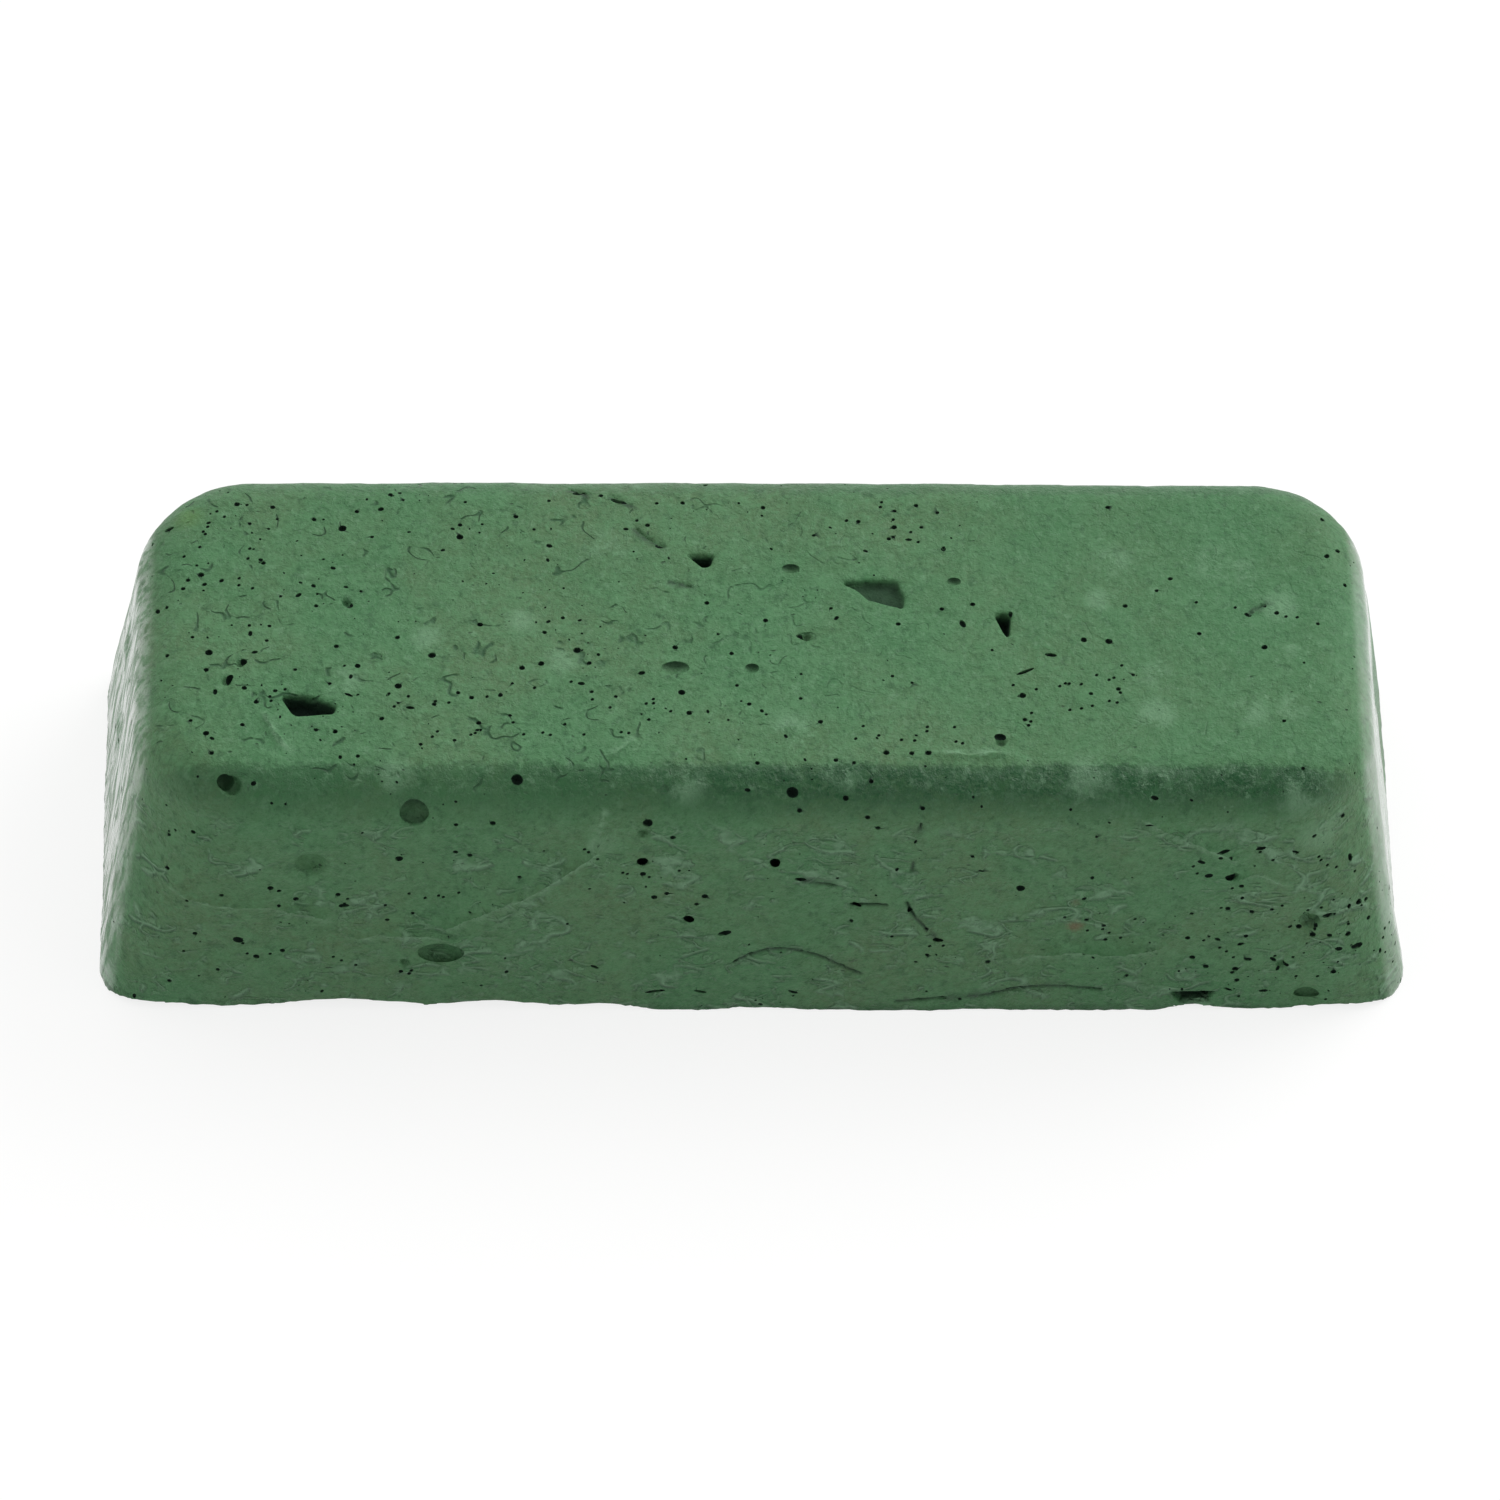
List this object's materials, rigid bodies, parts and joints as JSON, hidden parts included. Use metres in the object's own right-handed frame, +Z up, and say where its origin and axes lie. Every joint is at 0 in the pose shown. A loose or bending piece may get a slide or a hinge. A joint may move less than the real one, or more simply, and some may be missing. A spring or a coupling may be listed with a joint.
{
  "type": "buffing compound bar",
  "caption": "Cast bar of wax-bound polishing compound, tapered like an ingot, with rounded shoulders, a flat poured base with a broken rim, and bubble holes in its skin.",
  "frame": {"origin": "centre of the flat poured face that the bar rests on", "axes": "+X along the bar's length, +Y across its width towards the far long side, +Z up from the poured face to the narrower moulded face"},
  "size_m": [0.11, 0.0384, 0.027],
  "materials": {
    "green_compound": "waxy green abrasive compound, semi-matt, with burnished darker edges, pale frosty flecks and open casting pores"
  },
  "bodies": {
    "root": {"compound_bar": "green_compound"}
  },
  "joints": []
}
